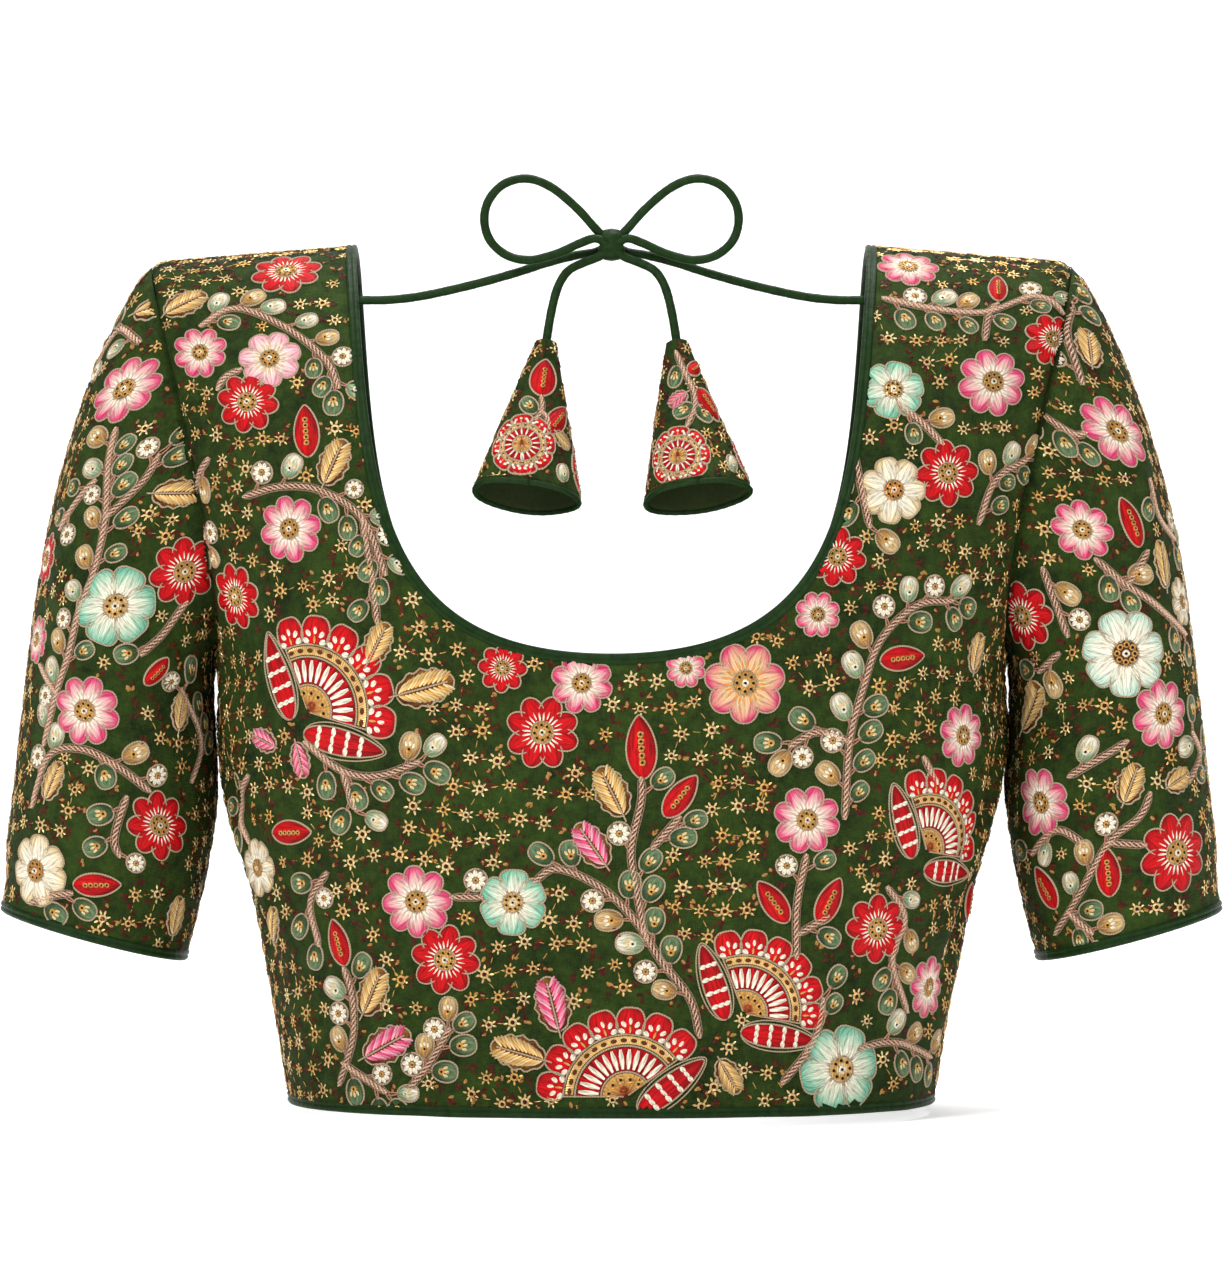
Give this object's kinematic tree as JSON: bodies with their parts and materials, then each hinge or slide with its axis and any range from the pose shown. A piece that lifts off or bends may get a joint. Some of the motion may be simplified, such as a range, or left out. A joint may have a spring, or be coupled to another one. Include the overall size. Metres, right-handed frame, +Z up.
{
  "type": "back-tied choli blouse",
  "caption": "Short fitted choli blouse, filled out as worn: deep U neck tied at the back with a cord bow and tassels, elbow-length sleeves, bound edges, hooked front.",
  "frame": {"origin": "midway between the tops of the two shoulders, where the garment rests on its wearer", "axes": "+Z up, -Y towards the garment's back with its tie, +X towards the wearer's right"},
  "size_m": [0.5168, 0.2466, 0.3856],
  "materials": {
    "embroidered_cloth": "dark green cloth with all-over thread, cord and sequin embroidery",
    "satin_binding": "dark green satin bias binding",
    "satin_cord": "dark green satin rouleau cord",
    "inner_cloth": "plain dark green cotton",
    "hook_metal": "blackened steel wire",
    "floss": "satin-stitched floss: red, pink, cream, mint and gold",
    "couched_cord": "twisted beige and pink-beige cord, couched down",
    "zari_gold": "gold thread and sequins"
  },
  "bodies": {
    "root": {"back": "embroidered_cloth", "front_left": "embroidered_cloth", "front_right": "embroidered_cloth", "sleeve_left": "embroidered_cloth", "sleeve_right": "embroidered_cloth", "neck_binding": "satin_binding", "hem_binding": "satin_binding", "cuff_binding_left": "satin_binding", "cuff_binding_right": "satin_binding", "hook_placket": "inner_cloth", "latkan_left": "embroidered_cloth", "latkan_right": "embroidered_cloth", "latkan_rim_left": "satin_binding", "latkan_rim_right": "satin_binding", "dori_knot": "satin_cord", "hook_1": "hook_metal", "hook_2": "hook_metal", "hook_3": "hook_metal", "hook_4": "hook_metal", "hook_5": "hook_metal", "hook_6": "hook_metal", "dori_strap_left": "satin_cord", "dori_strap_right": "satin_cord", "dori_loop_left": "satin_cord", "dori_loop_right": "satin_cord", "dori_tail_left": "satin_cord", "dori_tail_right": "satin_cord"}
  },
  "joints": []
}
